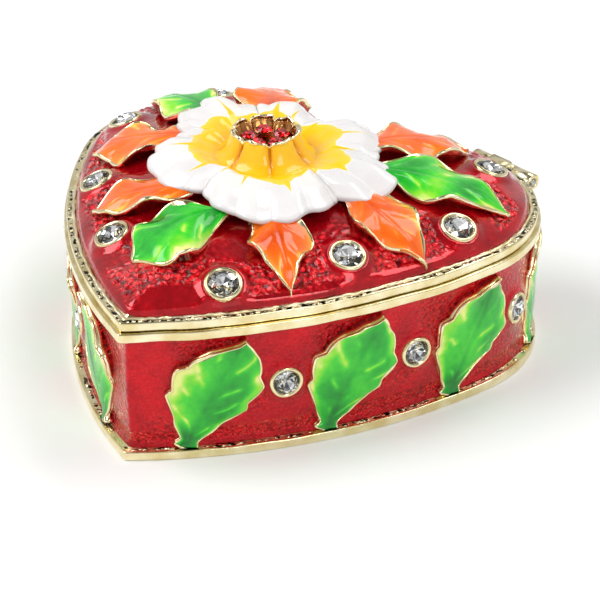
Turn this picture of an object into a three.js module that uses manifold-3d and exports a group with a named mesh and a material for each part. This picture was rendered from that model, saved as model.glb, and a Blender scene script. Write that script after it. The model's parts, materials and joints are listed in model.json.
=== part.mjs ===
// A heart-shaped trinket box: a cast gold-coloured base and domed lid, filled with red enamel,
// set with clear stones in round bezels, trimmed with enamelled leaves, and topped by an open
// flower. The lid turns on one barrel hinge behind a lobe and is held shut by a pair of magnets
// in the tip. Millimetres, +Z up, the tip towards -Y, the underside on z = 0.
import * as THREE from "three";
import { mergeVertices } from "three/addons/utils/BufferGeometryUtils.js";
import Module from "manifold-3d";

// Heart outline, seen from above, at the widest edge of the base.
const HALF_WIDTH = 32.5;
const TIP_Y = -36.1;
const LOBE_X = 14; // a lobe's centre
const LOBE_Y = 7.6;
const TIP_HALF_ANGLE = 59.5; // degrees between the tip's flank and the mid plane
const CLEFT_R = 1; // fillet between the lobes
const CENTRE_Y = -2; // the dome's middle and the flower's axis

// Base.
const BASE_H = 18;
const FLANGE_H = 1.2; // both flanges of the base and the one of the lid
const WALL_RECESS = 1.9; // from the flange edge in to the cast wall
const ENAMEL_T = 0.65;
const WALL_T = 1.5;
const FLOOR_T = 1.8;

// Lid.
const SEAM = 0.1; // between the two rims
const LID_STEP = 0.4; // the lid is this much smaller than the base all round
const LID_LEDGE = 1.2; // width of the lid's plain gold edge
const DOME_H = 6;
const DOME_ENAMEL_T = 0.5;
const DOME_T = 1.3;

// Stones and the bezels that hold them.
const LID_STONE_R = 1.95;
const SIDE_STONE_R = 1.7;
const BEZEL_WALL = 0.5;
const BEZEL_PROUD = 0.7; // above the enamel
const BEZEL_ROOT = 1.5; // below the enamel's surface, into the casting
const STONE_SINK = 0.25; // the girdle below the bezel's lip
const POCKET_DEPTH = 1.5;
const STONE_CLEAR = 0.1;

// Leaves: a seat just clear of the enamel, a thin edge and a swollen middle.
const LEAF_SEAT = 0.12;
const LEAF_EDGE = 0.5;
const LEAF_SWELL = 0.45;
const SIDE_LEAF_W = 11.2;
const SIDE_LEAF_LEAN = 26; // degrees from upright, the top away from the heart's tip
const SIDE_LEAF_MARGIN = 0.45; // between a leaf and a flange
const SIDE_PITCH = 17.7; // along the outline, leaf to leaf, with a stone half way
const SIDE_START = 11.4; // from the tip to the first leaf
const SIDE_LEAVES = 5; // on each side
const LEAF_GAP = 0.5; // between neighbouring leaves, and between a leaf and a bezel

// Flower.
const PETAL_R = 16.6;
const PETALS = 6;
const PETAL_NOTCH = 0.17; // depth of the notch between petals, as a share of the radius
const PETAL_LIFT = 1.35; // underside of a petal's free edge above the enamel
const PETAL_EDGE = 0.6;
const PETAL_SWELL = 0.8;
const CUP_SEAT = 1.3; // flat middle of the flower above the dome's top
const CUP_H = 3.2;
const CUP_BASE_R = 6.4;
const CUP_RIM_R = 4.4;
const CUP_WALL = 0.7;
const HEART_STONES = 5;
const HEART_STONE_R = 1.15;

// Hinge.
const HINGE_BEARING = 72; // degrees round the right lobe from +X
const HINGE_DROP = 0.6; // axis below the base's rim
const KNUCKLE_R = 1.15;
const KNUCKLE_L = 3.5;
const KNUCKLE_GAP = 0.15;
const PIN_R = 0.5;
const PIN_CLEAR = 0.05;

// Magnets.
const MAGNET_R = 2;
const MAGNET_T = 1.5;
const MAGNET_CLEAR = 0.1;
const WEB_Y = -25.5; // the hollow ends here, so the tip is solid round the magnets
const MAGNET_Y = -28.8;

// ---- Layout of what the castings carry. A bearing is in degrees from +X about the dome's middle,
// and a share is how far along it, from the middle (0) to the edge of the lid's enamel (1).

const LID_STONES = [
  { bearing: -71, share: 0.9 },
  { bearing: -31, share: 0.85 },
  { bearing: 6, share: 0.88 },
  { bearing: 40, share: 0.87 },
  { bearing: 135, share: 0.86 },
  { bearing: 164, share: 0.87 },
  { bearing: 204, share: 0.88 },
  { bearing: 244, share: 0.86 },
];
const LID_LEAVES = [
  { name: "lid_leaf_front_orange", bearing: 309, share: 0.93, width: 10.5, colour: "orange" },
  { name: "lid_leaf_front_green", bearing: 270, share: 0.81, width: 13, colour: "green" },
  { name: "lid_leaf_left_orange", bearing: 217, share: 0.8, width: 12, colour: "orange" },
  { name: "lid_leaf_side_orange", bearing: 181, share: 0.92, width: 11.5, colour: "orange" },
  { name: "lid_leaf_back_green", bearing: 149, share: 0.86, width: 11.5, colour: "green" },
  { name: "lid_leaf_back_orange", bearing: 110, share: 0.86, width: 10.5, colour: "orange" },
  { name: "lid_leaf_lobe_orange", bearing: 51, share: 0.82, width: 11, colour: "orange" },
  { name: "lid_leaf_right_green", bearing: 23, share: 0.93, width: 12, colour: "green" },
  { name: "lid_leaf_right_orange", bearing: 351, share: 0.93, width: 9.5, colour: "orange" },
];

const wasm = await Module();
wasm.setup();

const rad = THREE.MathUtils.degToRad;
const v2 = (x, y) => new THREE.Vector2(x, y);
const v3 = (x, y, z) => new THREE.Vector3(x, y, z);
const polar = (r, angle) => v2(r * Math.cos(angle), r * Math.sin(angle));

// ---- The outline. Each side is a flank arc, a lobe arc and a cleft arc, tangent to each other.

const FLANK_STEPS = 10;
const LOBE_STEPS = 16;
const CLEFT_STEPS = 2;

const centre = v2(0, CENTRE_Y);
const lobe = v2(LOBE_X, LOBE_Y);
const lobeR = HALF_WIDTH - LOBE_X;
const cleft = v2(0, LOBE_Y + Math.sqrt((lobeR + CLEFT_R) ** 2 - LOBE_X ** 2));
const toFlank = v2(-Math.cos(rad(TIP_HALF_ANGLE)), Math.sin(rad(TIP_HALF_ANGLE)));
const tipFromLobe = v2(0, TIP_Y).sub(lobe);
const flankR =
  (lobeR ** 2 - tipFromLobe.lengthSq()) / (2 * (tipFromLobe.dot(toFlank) + lobeR));
const flank = v2(0, TIP_Y).addScaledVector(toFlank, flankR);
const bearing = (from, to) => Math.atan2(to.y - from.y, to.x - from.x);
const flankEnd = bearing(flank, lobe);
const lobeEnd = bearing(lobe, cleft);

// The angle on the flank's arc where it meets the mid plane, for an outline drawn in by inset.
const flankStart = (inset) => -Math.acos(-flank.x / (flankR - inset));

// The outline drawn in by inset, from the tip anticlockwise, as 2-D points.
function outline(inset) {
  const right = [];
  const arc = (middle, r, from, to, steps) => {
    for (let i = right.length ? 1 : 0; i <= steps; i++)
      right.push(polar(r, from + ((to - from) * i) / steps).add(middle));
  };
  arc(flank, flankR - inset, flankStart(inset), flankEnd, FLANK_STEPS);
  arc(lobe, lobeR - inset, flankEnd, lobeEnd, LOBE_STEPS);
  arc(cleft, CLEFT_R + inset, lobeEnd - Math.PI, -Math.PI / 2, CLEFT_STEPS);
  const left = right.slice(1, -1).reverse().map((p) => v2(-p.x, p.y));
  return [...right, ...left];
}

const ring = (inset, z) => outline(inset).map((p) => v3(p.x, p.y, z));

// Distance from the centre to the outline drawn in by inset, along a 2-D direction.
function reach(direction, inset) {
  const d = v2(Math.abs(direction.x), direction.y).normalize();
  const hit = (middle, r, side) => {
    const m = middle.clone().sub(centre);
    const along = m.dot(d);
    const t = along + side * Math.sqrt(Math.max(0, along ** 2 - m.lengthSq() + r ** 2));
    return d.clone().multiplyScalar(t).add(centre);
  };
  const onFlank = hit(flank, flankR - inset, 1);
  const onLobe = hit(lobe, lobeR - inset, 1);
  if (bearing(flank, onFlank) < flankEnd) return onFlank.distanceTo(centre);
  if (bearing(lobe, onLobe) < lobeEnd) return onLobe.distanceTo(centre);
  return hit(cleft, CLEFT_R + inset, -1).distanceTo(centre);
}

// A place on the wall: s is the distance along the outline from the tip, positive to the right.
function wallFrame(s) {
  const along = Math.abs(s);
  const flankLength = flankR * (flankEnd - flankStart(0));
  const onFlank = along < flankLength;
  const angle = onFlank
    ? flankStart(0) + along / flankR
    : flankEnd + (along - flankLength) / lobeR;
  const out = polar(1, angle);
  const at = out.clone().multiplyScalar(onFlank ? flankR : lobeR).add(onFlank ? flank : lobe);
  const side = s < 0 ? -1 : 1;
  return { at: v2(side * at.x, at.y), out: v2(side * out.x, out.y) };
}

function wallPoint(s, inset, z) {
  const { at, out } = wallFrame(s);
  const p = at.addScaledVector(out, -inset);
  return v3(p.x, p.y, z);
}

// ---- The lid's dome: rings shrink towards the centre as they rise, steeply at first.

const RIM_Z = BASE_H + SEAM + FLANGE_H; // top of the lid's flange
const DOME_INSET = LID_STEP + LID_LEDGE;
const FIT = 0.05; // between a casting and the enamel that fills it
const DOME_RINGS = [1, 0.965, 0.89, 0.77, 0.6, 0.4, 0.2];

const rise = (share) => Math.pow(1 - Math.min(share, 1) ** 2, 0.75);
const enamelZ = RIM_Z + FIT + DOME_ENAMEL_T;

function domeZ(x, y) {
  const from = v2(x, y).sub(centre);
  const share = from.length() < 1e-6 ? 0 : from.length() / reach(from, DOME_INSET);
  return enamelZ + DOME_H * rise(share);
}

function domePoint(x, y, lift) {
  return v3(x, y, domeZ(x, y) + lift);
}

function domeNormal(x, y) {
  const h = 0.2;
  const dx = (domeZ(x + h, y) - domeZ(x - h, y)) / (2 * h);
  const dy = (domeZ(x, y + h) - domeZ(x, y - h)) / (2 * h);
  return v3(-dx, -dy, 1).normalize();
}

const domeRing = (inset, share, z) =>
  outline(inset).map((p) => {
    const q = p.sub(centre).multiplyScalar(share).add(centre);
    return v3(q.x, q.y, z);
  });

// The hollows stop at a straight web, which leaves the tip solid.
const webbed = (loop) => loop.map((p) => v3(p.x, Math.max(p.y, WEB_Y), p.z));

// ---- Closed surfaces.

function solidFrom(triangles) {
  const position = new Float32Array(triangles.flatMap((t) => t.flatMap((p) => [p.x, p.y, p.z])));
  const geometry = new THREE.BufferGeometry();
  geometry.setAttribute("position", new THREE.BufferAttribute(position, 3));
  return geometry;
}

// Skins loops of equal length, all anticlockwise from above, from the first to the last. Each
// capped end is a fan about its own middle point; with no caps the last loop joins the first.
function loft(loops, capped = true, middles = {}) {
  const triangles = [];
  const n = loops[0].length;
  const band = (a, b) => {
    for (let i = 0; i < n; i++) {
      const j = (i + 1) % n;
      triangles.push([a[i], a[j], b[j]], [a[i], b[j], b[i]]);
    }
  };
  for (let k = 0; k + 1 < loops.length; k++) band(loops[k], loops[k + 1]);
  const last = loops[loops.length - 1];
  if (!capped) {
    band(last, loops[0]);
    return solidFrom(triangles);
  }
  const first = loops[0];
  const bottom = v3(centre.x, centre.y, middles.first ?? first[0].z);
  const top = v3(centre.x, centre.y, middles.last ?? last[0].z);
  for (let i = 0; i < n; i++) {
    const j = (i + 1) % n;
    triangles.push([bottom, first[j], first[i]], [top, last[i], last[j]]);
  }
  return solidFrom(triangles);
}

// A plate between two grids of points; a row runs along x when the columns run along y.
function plate(top, bottom) {
  const triangles = [];
  const quad = (a, b, c, d) => triangles.push([a, b, c], [a, c, d]);
  const rows = top.length - 1;
  const columns = top[0].length - 1;
  for (let i = 0; i < rows; i++)
    for (let j = 0; j < columns; j++) {
      quad(top[i][j], top[i][j + 1], top[i + 1][j + 1], top[i + 1][j]);
      quad(bottom[i][j], bottom[i + 1][j], bottom[i + 1][j + 1], bottom[i][j + 1]);
    }
  for (let j = 0; j < columns; j++) {
    quad(bottom[0][j], bottom[0][j + 1], top[0][j + 1], top[0][j]);
    quad(top[rows][j], top[rows][j + 1], bottom[rows][j + 1], bottom[rows][j]);
  }
  for (let i = 0; i < rows; i++) {
    quad(top[i][0], top[i + 1][0], bottom[i + 1][0], bottom[i][0]);
    const c = columns;
    quad(bottom[i][c], bottom[i + 1][c], top[i + 1][c], top[i][c]);
  }
  return solidFrom(triangles);
}

// ---- Joining and cutting.

function toManifold(geometry) {
  const bare = geometry.index ? geometry.toNonIndexed() : geometry.clone();
  for (const name of ["normal", "uv"]) bare.deleteAttribute(name);
  const merged = mergeVertices(bare, 1e-4);
  const mesh = new wasm.Mesh({
    numProp: 3,
    vertProperties: merged.attributes.position.array,
    triVerts: new Uint32Array(merged.index.array),
  });
  return new wasm.Manifold(mesh);
}

function toGeometry(solid) {
  const mesh = solid.getMesh();
  const geometry = new THREE.BufferGeometry();
  geometry.setAttribute("position", new THREE.BufferAttribute(mesh.vertProperties, 3));
  geometry.setIndex(new THREE.BufferAttribute(mesh.triVerts, 1));
  return geometry;
}

function joinAndCut(body, joined, cut) {
  let solid = toManifold(body);
  for (const piece of joined) solid = solid.add(toManifold(piece));
  for (const piece of cut) solid = solid.subtract(toManifold(piece));
  return toGeometry(solid);
}

// ---- Round pieces that stand on a surface: +Z of the place is the surface's outward normal.

function placeOn(at, normal) {
  const turn = new THREE.Quaternion().setFromUnitVectors(v3(0, 0, 1), normal);
  return new THREE.Matrix4().compose(at, turn, v3(1, 1, 1));
}

// A cylinder along +Z from one height to another.
function post(r, from, to, sides = 16) {
  return new THREE.CylinderGeometry(r, r, to - from, sides)
    .rotateX(Math.PI / 2)
    .translate(0, 0, (from + to) / 2);
}

const bezelR = (stoneR) => stoneR + STONE_CLEAR + BEZEL_WALL;
const bezel = (spot) => post(bezelR(spot.r), -BEZEL_ROOT, BEZEL_PROUD).applyMatrix4(spot.place);
const pocket = (spot) =>
  post(spot.r + STONE_CLEAR, BEZEL_PROUD - POCKET_DEPTH, BEZEL_PROUD + 1).applyMatrix4(spot.place);
const bezelHole = (spot) =>
  post(bezelR(spot.r) + FIT, -BEZEL_ROOT, BEZEL_PROUD).applyMatrix4(spot.place);

// A round brilliant: culet, girdle and table.
function brilliant(r, pavilion, crown) {
  const profile = [v2(0, -pavilion), v2(r, 0), v2(0.6 * r, crown), v2(0, crown)];
  return new THREE.LatheGeometry(profile, 12).rotateX(Math.PI / 2);
}

function setStone(spot) {
  const depth = POCKET_DEPTH - STONE_SINK - STONE_CLEAR;
  return brilliant(spot.r, depth, 0.3 * spot.r)
    .translate(0, 0, BEZEL_PROUD - STONE_SINK)
    .applyMatrix4(spot.place);
}

const lidSpots = LID_STONES.map((spot) => {
  const way = polar(1, rad(spot.bearing));
  const p = way.clone().multiplyScalar(spot.share * reach(way, DOME_INSET)).add(centre);
  return { r: LID_STONE_R, at: p, place: placeOn(domePoint(p.x, p.y, 0), domeNormal(p.x, p.y)) };
});

const wallInset = WALL_RECESS - FIT - ENAMEL_T; // face of the enamel on the base
const wallMid = BASE_H / 2;
const sideSpots = [1, -1].flatMap((side) =>
  Array.from({ length: SIDE_LEAVES - 1 }, (_, i) => {
    const s = side * (SIDE_START + (i + 0.5) * SIDE_PITCH);
    const out = wallFrame(s).out;
    return { r: SIDE_STONE_R, place: placeOn(wallPoint(s, wallInset, wallMid), v3(out.x, out.y, 0)) };
  }),
);

// ---- Hinge: two lugs on the base, one on the lid between them, and a pin through all three.

const hingeOut = polar(1, rad(HINGE_BEARING));
const hingeAt = hingeOut.clone().multiplyScalar(lobeR + KNUCKLE_GAP + KNUCKLE_R).add(lobe);
const hingeZ = BASE_H - HINGE_DROP;
const hingePlace = new THREE.Matrix4()
  .makeRotationZ(rad(HINGE_BEARING - 90))
  .setPosition(hingeAt.x, hingeAt.y, hingeZ);
const lugPitch = KNUCKLE_L + KNUCKLE_GAP;
const lugReach = KNUCKLE_R + KNUCKLE_GAP + LID_STEP + (1.5 * KNUCKLE_L) ** 2 / (2 * lobeR) + 0.8;

// A lug's barrel and the tab that joins it to a flange, between two heights about the axis.
function lug(x, low, high) {
  const barrel = new THREE.CylinderGeometry(KNUCKLE_R, KNUCKLE_R, KNUCKLE_L, 16)
    .rotateZ(Math.PI / 2)
    .translate(x, 0, 0);
  const tab = new THREE.BoxGeometry(KNUCKLE_L, lugReach, high - low)
    .translate(x, -lugReach / 2, (low + high) / 2);
  return [barrel, tab].map((g) => g.applyMatrix4(hingePlace));
}

const bore = () =>
  new THREE.CylinderGeometry(PIN_R + PIN_CLEAR, PIN_R + PIN_CLEAR, 5 * KNUCKLE_L, 16)
    .rotateZ(Math.PI / 2)
    .applyMatrix4(hingePlace);

const baseLugs = [-lugPitch, lugPitch].flatMap((x) =>
  lug(x, HINGE_DROP - FLANGE_H, HINGE_DROP - SEAM),
);
const lidLug = lug(0, HINGE_DROP + SEAM, HINGE_DROP + FLANGE_H);

// ---- Castings and their enamel.

function magnetPocket(low, high) {
  return post(MAGNET_R + MAGNET_CLEAR, low, high, 20).translate(0, MAGNET_Y, 0);
}

function baseShell() {
  const inner = WALL_RECESS + WALL_T;
  const body = loft([
    ring(0, 0),
    ring(0, FLANGE_H),
    ring(WALL_RECESS, FLANGE_H),
    ring(WALL_RECESS, BASE_H - FLANGE_H),
    ring(0, BASE_H - FLANGE_H),
    ring(0, BASE_H),
    webbed(ring(inner, BASE_H)),
    webbed(ring(inner, FLOOR_T)),
  ]);
  const joined = [...sideSpots.map(bezel), ...baseLugs];
  const sink = magnetPocket(BASE_H - MAGNET_T - MAGNET_CLEAR, BASE_H + 1);
  return joinAndCut(body, joined, [...sideSpots.map(pocket), bore(), sink]);
}

function baseEnamel() {
  const low = FLANGE_H + FIT;
  const high = BASE_H - FLANGE_H - FIT;
  const body = loft(
    [
      ring(wallInset, low),
      ring(wallInset, high),
      ring(WALL_RECESS - FIT, high),
      ring(WALL_RECESS - FIT, low),
    ],
    false,
  );
  return joinAndCut(body, [], sideSpots.map(bezelHole));
}

function lidShell() {
  const inner = WALL_RECESS + WALL_T;
  const low = BASE_H + SEAM;
  const spring = low + FLANGE_H / 2; // where the hollow's side turns into its vault
  const vault = RIM_Z + DOME_H - DOME_T - spring;
  const hollow = [...DOME_RINGS]
    .reverse()
    .map((share) => webbed(domeRing(inner, share, spring + vault * rise(share))));
  const outside = DOME_RINGS.map((share) =>
    domeRing(DOME_INSET, share, RIM_Z + DOME_H * rise(share)),
  );
  const body = loft([
    ...hollow,
    webbed(ring(inner, low)),
    ring(LID_STEP, low),
    ring(LID_STEP, RIM_Z),
    ...outside,
  ]);
  const sink = magnetPocket(low - 1, low + MAGNET_T + MAGNET_CLEAR);
  return joinAndCut(body, [...lidSpots.map(bezel), ...lidLug], [
    ...lidSpots.map(pocket),
    bore(),
    sink,
  ]);
}

function lidEnamel() {
  const shares = DOME_RINGS.slice(0, -2);
  const under = shares.map((share) =>
    domeRing(DOME_INSET, share, RIM_Z + FIT + DOME_H * rise(share)),
  );
  const over = shares.map((share) => domeRing(DOME_INSET, share, enamelZ + DOME_H * rise(share)));
  const body = loft([...over, ...under.reverse()], false);
  return joinAndCut(body, [], lidSpots.map(bezelHole));
}

// ---- Leaves.

const LEAF_ROWS = 7;
const LEAF_COLUMNS = [-1, -0.5, 0, 0.5, 1];

// Half the width of a leaf, as a share, at t from the stem (0) to the tip (1), with three teeth.
function leafShare(t) {
  const body = Math.pow(Math.sin(Math.PI * Math.pow(t, 0.8)), 0.75);
  const tooth = 0.1 * ((t * 3.5) % 1) * Math.sin(Math.PI * t);
  return Math.max(0.08, body - tooth);
}

// A leaf of the given length: width(t, side) is the half width, surface(across, along, lift) a
// point of it, where across runs over the width and along from the stem to the tip.
function leaf(length, width, surface) {
  const grid = (lift) =>
    Array.from({ length: LEAF_ROWS + 1 }, (_, row) => {
      const t = row / LEAF_ROWS;
      return LEAF_COLUMNS.map((c) =>
        surface(c * width(t, Math.sign(c)), t * length, lift(t, Math.abs(c))),
      );
    });
  const swell = (t, c) => LEAF_SWELL * (1 - c * c) * Math.sin(Math.PI * t);
  return plate(
    grid((t, c) => LEAF_SEAT + LEAF_EDGE + swell(t, c)),
    grid(() => LEAF_SEAT),
  );
}

function sideLeaf(s) {
  const side = Math.sign(s);
  const lean = rad(SIDE_LEAF_LEAN);
  const low = FLANGE_H + SIDE_LEAF_MARGIN;
  const high = BASE_H - FLANGE_H - SIDE_LEAF_MARGIN;
  const length = (high - low) / Math.cos(lean);
  const stem = s - (side * Math.tan(lean) * (high - low)) / 2;
  const width = (t) => (leafShare(t) * SIDE_LEAF_W) / 2;
  return leaf(length, width, (across, along, lift) => {
    const z = low + along * Math.cos(lean) - side * across * Math.sin(lean);
    const u = stem + side * along * Math.sin(lean) + across * Math.cos(lean);
    return wallPoint(u, wallInset - lift, Math.min(Math.max(z, low), high));
  });
}

function lidLeaf(index) {
  const own = LID_LEAVES[index];
  const wrap = (angle) => ((angle % 360) + 360) % 360;
  // Half the angle to the nearest leaf, in radians: 1 is clockwise, -1 anticlockwise.
  const room = (side) => {
    const gaps = LID_LEAVES.filter((other) => other !== own).map((other) =>
      wrap(side * (own.bearing - other.bearing)),
    );
    return rad(Math.min(...gaps, 80) / 2);
  };
  const limit = { 1: room(1), [-1]: room(-1), 0: 1 };
  const way = polar(1, rad(own.bearing));
  const across = v2(way.y, -way.x);
  const root = 0.76 * PETAL_R;
  const length = own.share * reach(way, DOME_INSET) - root;
  // Half the width that the bezels on one side leave free, at a distance along the leaf.
  const besideBezels = (along, side) => {
    const keepOff = bezelR(LID_STONE_R) + 2 * LEAF_GAP;
    const free = lidSpots.map((spot) => {
      const from = spot.at.clone().sub(centre);
      const aside = side * from.dot(across);
      const ahead = from.dot(way) - along;
      if (aside < 0 || Math.abs(ahead) > keepOff) return Infinity;
      return aside - Math.sqrt(keepOff ** 2 - ahead ** 2);
    });
    return Math.max(0.3, Math.min(...free));
  };
  const width = (t, side) => {
    const along = root + t * length;
    const besideLeaf = along * Math.tan(limit[side]) - LEAF_GAP / 2;
    const full = (leafShare(0.25 + 0.75 * t) * own.width) / 2;
    return Math.min(full, besideLeaf, besideBezels(along, side));
  };
  return leaf(length, width, (a, b, lift) => {
    const p = centre.clone().addScaledVector(way, root + b).addScaledVector(across, a);
    return domePoint(p.x, p.y, lift);
  });
}

// ---- Flower.

const FLOWER_STEPS = 48;
const seatZ = enamelZ + DOME_H + CUP_SEAT;

// A ring of the petals at a share of their outline, or a plain circle when round is 1.
function petalRing(share, round, height) {
  return Array.from({ length: FLOWER_STEPS }, (_, i) => {
    const angle = (2 * Math.PI * i) / FLOWER_STEPS;
    const notch = Math.pow(Math.abs(Math.sin((PETALS * angle) / 2)), 3);
    const r = PETAL_R * share * (1 - (1 - round) * PETAL_NOTCH * notch);
    const p = polar(r, angle).add(centre);
    return v3(p.x, p.y, height(p.x, p.y));
  });
}

function flowerPetals() {
  const over = (lift) => (x, y) => domeZ(x, y) + lift;
  return loft(
    [
      petalRing(0.25, 1, over(LEAF_SEAT)),
      petalRing(0.5, 1, over(LEAF_SEAT)),
      petalRing(0.68, 1, over(LEAF_SEAT)),
      petalRing(0.72, 1, over(PETAL_LIFT)),
      petalRing(1, 0, over(PETAL_LIFT)),
      petalRing(1, 0, over(PETAL_LIFT + PETAL_EDGE)),
      petalRing(0.86, 0.2, over(PETAL_LIFT + PETAL_EDGE + PETAL_SWELL)),
      petalRing(0.62, 0.7, over(PETAL_LIFT + PETAL_EDGE)),
      petalRing(CUP_BASE_R / PETAL_R + 0.04, 1, () => seatZ),
    ],
    true,
    { first: enamelZ + DOME_H + LEAF_SEAT },
  );
}

const cupFloor = seatZ + FIT + 0.3 * CUP_H;
const cupTop = seatZ + FIT + CUP_H;

function flowerCup() {
  const circle = (r, z) =>
    Array.from({ length: 24 }, (_, i) => {
      const p = polar(r, (2 * Math.PI * i) / 24).add(centre);
      return v3(p.x, p.y, z);
    });
  return loft([
    circle(CUP_BASE_R, seatZ + FIT),
    circle(0.84 * CUP_BASE_R, seatZ + 0.3 * CUP_H),
    circle(CUP_RIM_R, seatZ + 0.75 * CUP_H),
    circle(CUP_RIM_R + 0.1, cupTop),
    circle(CUP_RIM_R - CUP_WALL, cupTop),
    circle(CUP_RIM_R - CUP_WALL - 0.1, cupFloor),
  ]);
}

function heartStone(i) {
  const p = polar(HEART_STONE_R * 1.85, (2 * Math.PI * (i - 0.25)) / HEART_STONES).add(centre);
  const depth = 0.8;
  return brilliant(HEART_STONE_R, depth, 0.45).translate(p.x, p.y, cupFloor + depth + FIT);
}

// ---- Assembly.

const looks = {
  gold: { color: 0xe6d3a0, roughness: 0.25, metalness: 1 },
  red: { color: 0xa60014, roughness: 0.12, metalness: 0 },
  green: { color: 0x35c63c, roughness: 0.2, metalness: 0 },
  orange: { color: 0xff7a2c, roughness: 0.2, metalness: 0 },
  white: { color: 0xfaf8f2, roughness: 0.2, metalness: 0 },
  yellow: { color: 0xffc21a, roughness: 0.2, metalness: 0 },
  clear: { color: 0xf2f5fa, roughness: 0.02, metalness: 0 },
  ruby: { color: 0xb00a22, roughness: 0.02, metalness: 0 },
  steel: { color: 0xb9bcc0, roughness: 0.3, metalness: 1 },
};

const box = new THREE.Group();
const base = new THREE.Group();
const lid = new THREE.Group();
box.add(base, lid);

function add(group, name, geometry, look) {
  const mesh = new THREE.Mesh(geometry, new THREE.MeshStandardMaterial(looks[look]));
  mesh.name = name;
  group.add(mesh);
}

const magnet = (low) => post(MAGNET_R, low, low + MAGNET_T, 20).translate(0, MAGNET_Y, 0);
const sideName = (side) => (side > 0 ? "right" : "left");

add(base, "base_shell", baseShell(), "gold");
add(base, "base_enamel", baseEnamel(), "red");
for (const side of [1, -1])
  for (let i = 0; i < SIDE_LEAVES; i++) {
    const s = side * (SIDE_START + i * SIDE_PITCH);
    add(base, `side_leaf_${sideName(side)}_${i + 1}`, sideLeaf(s), "green");
  }
sideSpots.forEach((spot, i) => {
  const side = i < SIDE_LEAVES - 1 ? 1 : -1;
  const number = (i % (SIDE_LEAVES - 1)) + 1;
  add(base, `side_stone_${sideName(side)}_${number}`, setStone(spot), "clear");
});
add(base, "base_magnet", magnet(BASE_H - MAGNET_T - MAGNET_CLEAR / 2), "steel");
const pinL = 3 * KNUCKLE_L + 2 * KNUCKLE_GAP;
const pin = new THREE.CylinderGeometry(PIN_R, PIN_R, pinL, 16).rotateZ(Math.PI / 2);
add(base, "hinge_pin", pin.applyMatrix4(hingePlace), "steel");

add(lid, "lid_shell", lidShell(), "gold");
add(lid, "lid_enamel", lidEnamel(), "red");
LID_LEAVES.forEach((item, i) => add(lid, item.name, lidLeaf(i), item.colour));
lidSpots.forEach((spot, i) => add(lid, `lid_stone_${i + 1}`, setStone(spot), "clear"));
add(lid, "flower_petals", flowerPetals(), "white");
add(lid, "flower_cup", flowerCup(), "yellow");
for (let i = 0; i < HEART_STONES; i++) add(lid, `flower_stone_${i + 1}`, heartStone(i), "ruby");
add(lid, "lid_magnet", magnet(BASE_H + SEAM + MAGNET_CLEAR / 2), "steel");

export default box;
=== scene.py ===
# Looks of the heart-shaped trinket box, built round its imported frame. Sizes are in millimetres
# and become metres in make(). The tip points to -Y, and z = 0 is the underside.
import json
import math
from collections import namedtuple

import bmesh
import bpy
import numpy as np
from mathutils import Matrix, Vector


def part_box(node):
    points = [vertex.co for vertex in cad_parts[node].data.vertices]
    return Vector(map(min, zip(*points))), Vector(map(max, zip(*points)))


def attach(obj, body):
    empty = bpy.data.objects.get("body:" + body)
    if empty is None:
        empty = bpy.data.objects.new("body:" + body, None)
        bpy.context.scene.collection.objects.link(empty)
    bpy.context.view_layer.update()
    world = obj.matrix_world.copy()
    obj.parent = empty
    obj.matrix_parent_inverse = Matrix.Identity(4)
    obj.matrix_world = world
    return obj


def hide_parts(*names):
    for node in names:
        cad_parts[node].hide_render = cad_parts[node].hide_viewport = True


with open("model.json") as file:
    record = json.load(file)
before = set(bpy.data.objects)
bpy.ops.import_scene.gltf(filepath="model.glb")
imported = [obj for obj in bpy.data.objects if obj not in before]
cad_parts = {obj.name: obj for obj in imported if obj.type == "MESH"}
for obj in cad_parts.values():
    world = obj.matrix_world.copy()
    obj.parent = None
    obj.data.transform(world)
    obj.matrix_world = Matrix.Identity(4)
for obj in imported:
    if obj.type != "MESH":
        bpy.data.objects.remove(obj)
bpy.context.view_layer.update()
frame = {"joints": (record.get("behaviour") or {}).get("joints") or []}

MM = 0.001


def box_mm(node):
    return [np.array(corner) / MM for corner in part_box(node)]


def middle_mm(node):
    low, high = box_mm(node)
    return (low + high) / 2


# ---- Sizes. Those of the frame are read from its nodes, and the rest are driving dimensions.

FIT = 0.05  # between a casting and the enamel that fills it
LOBE_X = 14.0
TIP_HALF_ANGLE = math.radians(59.5)
CLEFT_R = 1.0
CENTRE = np.array([0.0, -2.0])
ENAMEL_T = 0.65
WALL_T = 1.5
FLOOR_T = 1.8
SEAM = 0.1
LID_STEP = 0.4
DOME_H = 6.0
DOME_T = 1.3
DOME_ENAMEL_T = 0.5
WEB_Y = -25.5
ROUND_TIP = 0.14  # how far the outline's corner at the tip is eased back
WALL_ROUND_TIP = 0.32

shell_low, shell_high = box_mm("base_shell")
wall_low, wall_high = box_mm("base_enamel")
dome_low, dome_high = box_mm("lid_enamel")
HALF_WIDTH = shell_high[0]
TIP_Y = shell_low[1]
FLANGE_H = wall_low[2] - FIT
BASE_H = wall_high[2] + FIT + FLANGE_H
WALL_IN = HALF_WIDTH - wall_high[0]  # from the flange's edge in to the face of the enamel
WALL_RECESS = WALL_IN + ENAMEL_T + FIT
LOBE_R = HALF_WIDTH - LOBE_X
LOBE_Y = wall_high[1] + WALL_IN - LOBE_R
LID_LOW = BASE_H + SEAM
RIM_Z = dome_low[2] - FIT
DOME_IN = HALF_WIDTH - dome_high[0]
ENAMEL_Z = RIM_Z + FIT + DOME_ENAMEL_T
INNER = WALL_RECESS + WALL_T

STONE_PROUD = 0.45  # a stone's girdle above the enamel
BEZEL_WALL = 0.42
LID_STONES = 8
LID_STONE_R = 1.95
SIDE_STONE_R = 1.7
CROWN = 0.32  # a stone's height over its girdle, as a share of its radius

MAGNET_PROUD = 0.045  # so that the two discs all but meet
MAGNET_CHAMFER = 0.03

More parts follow.
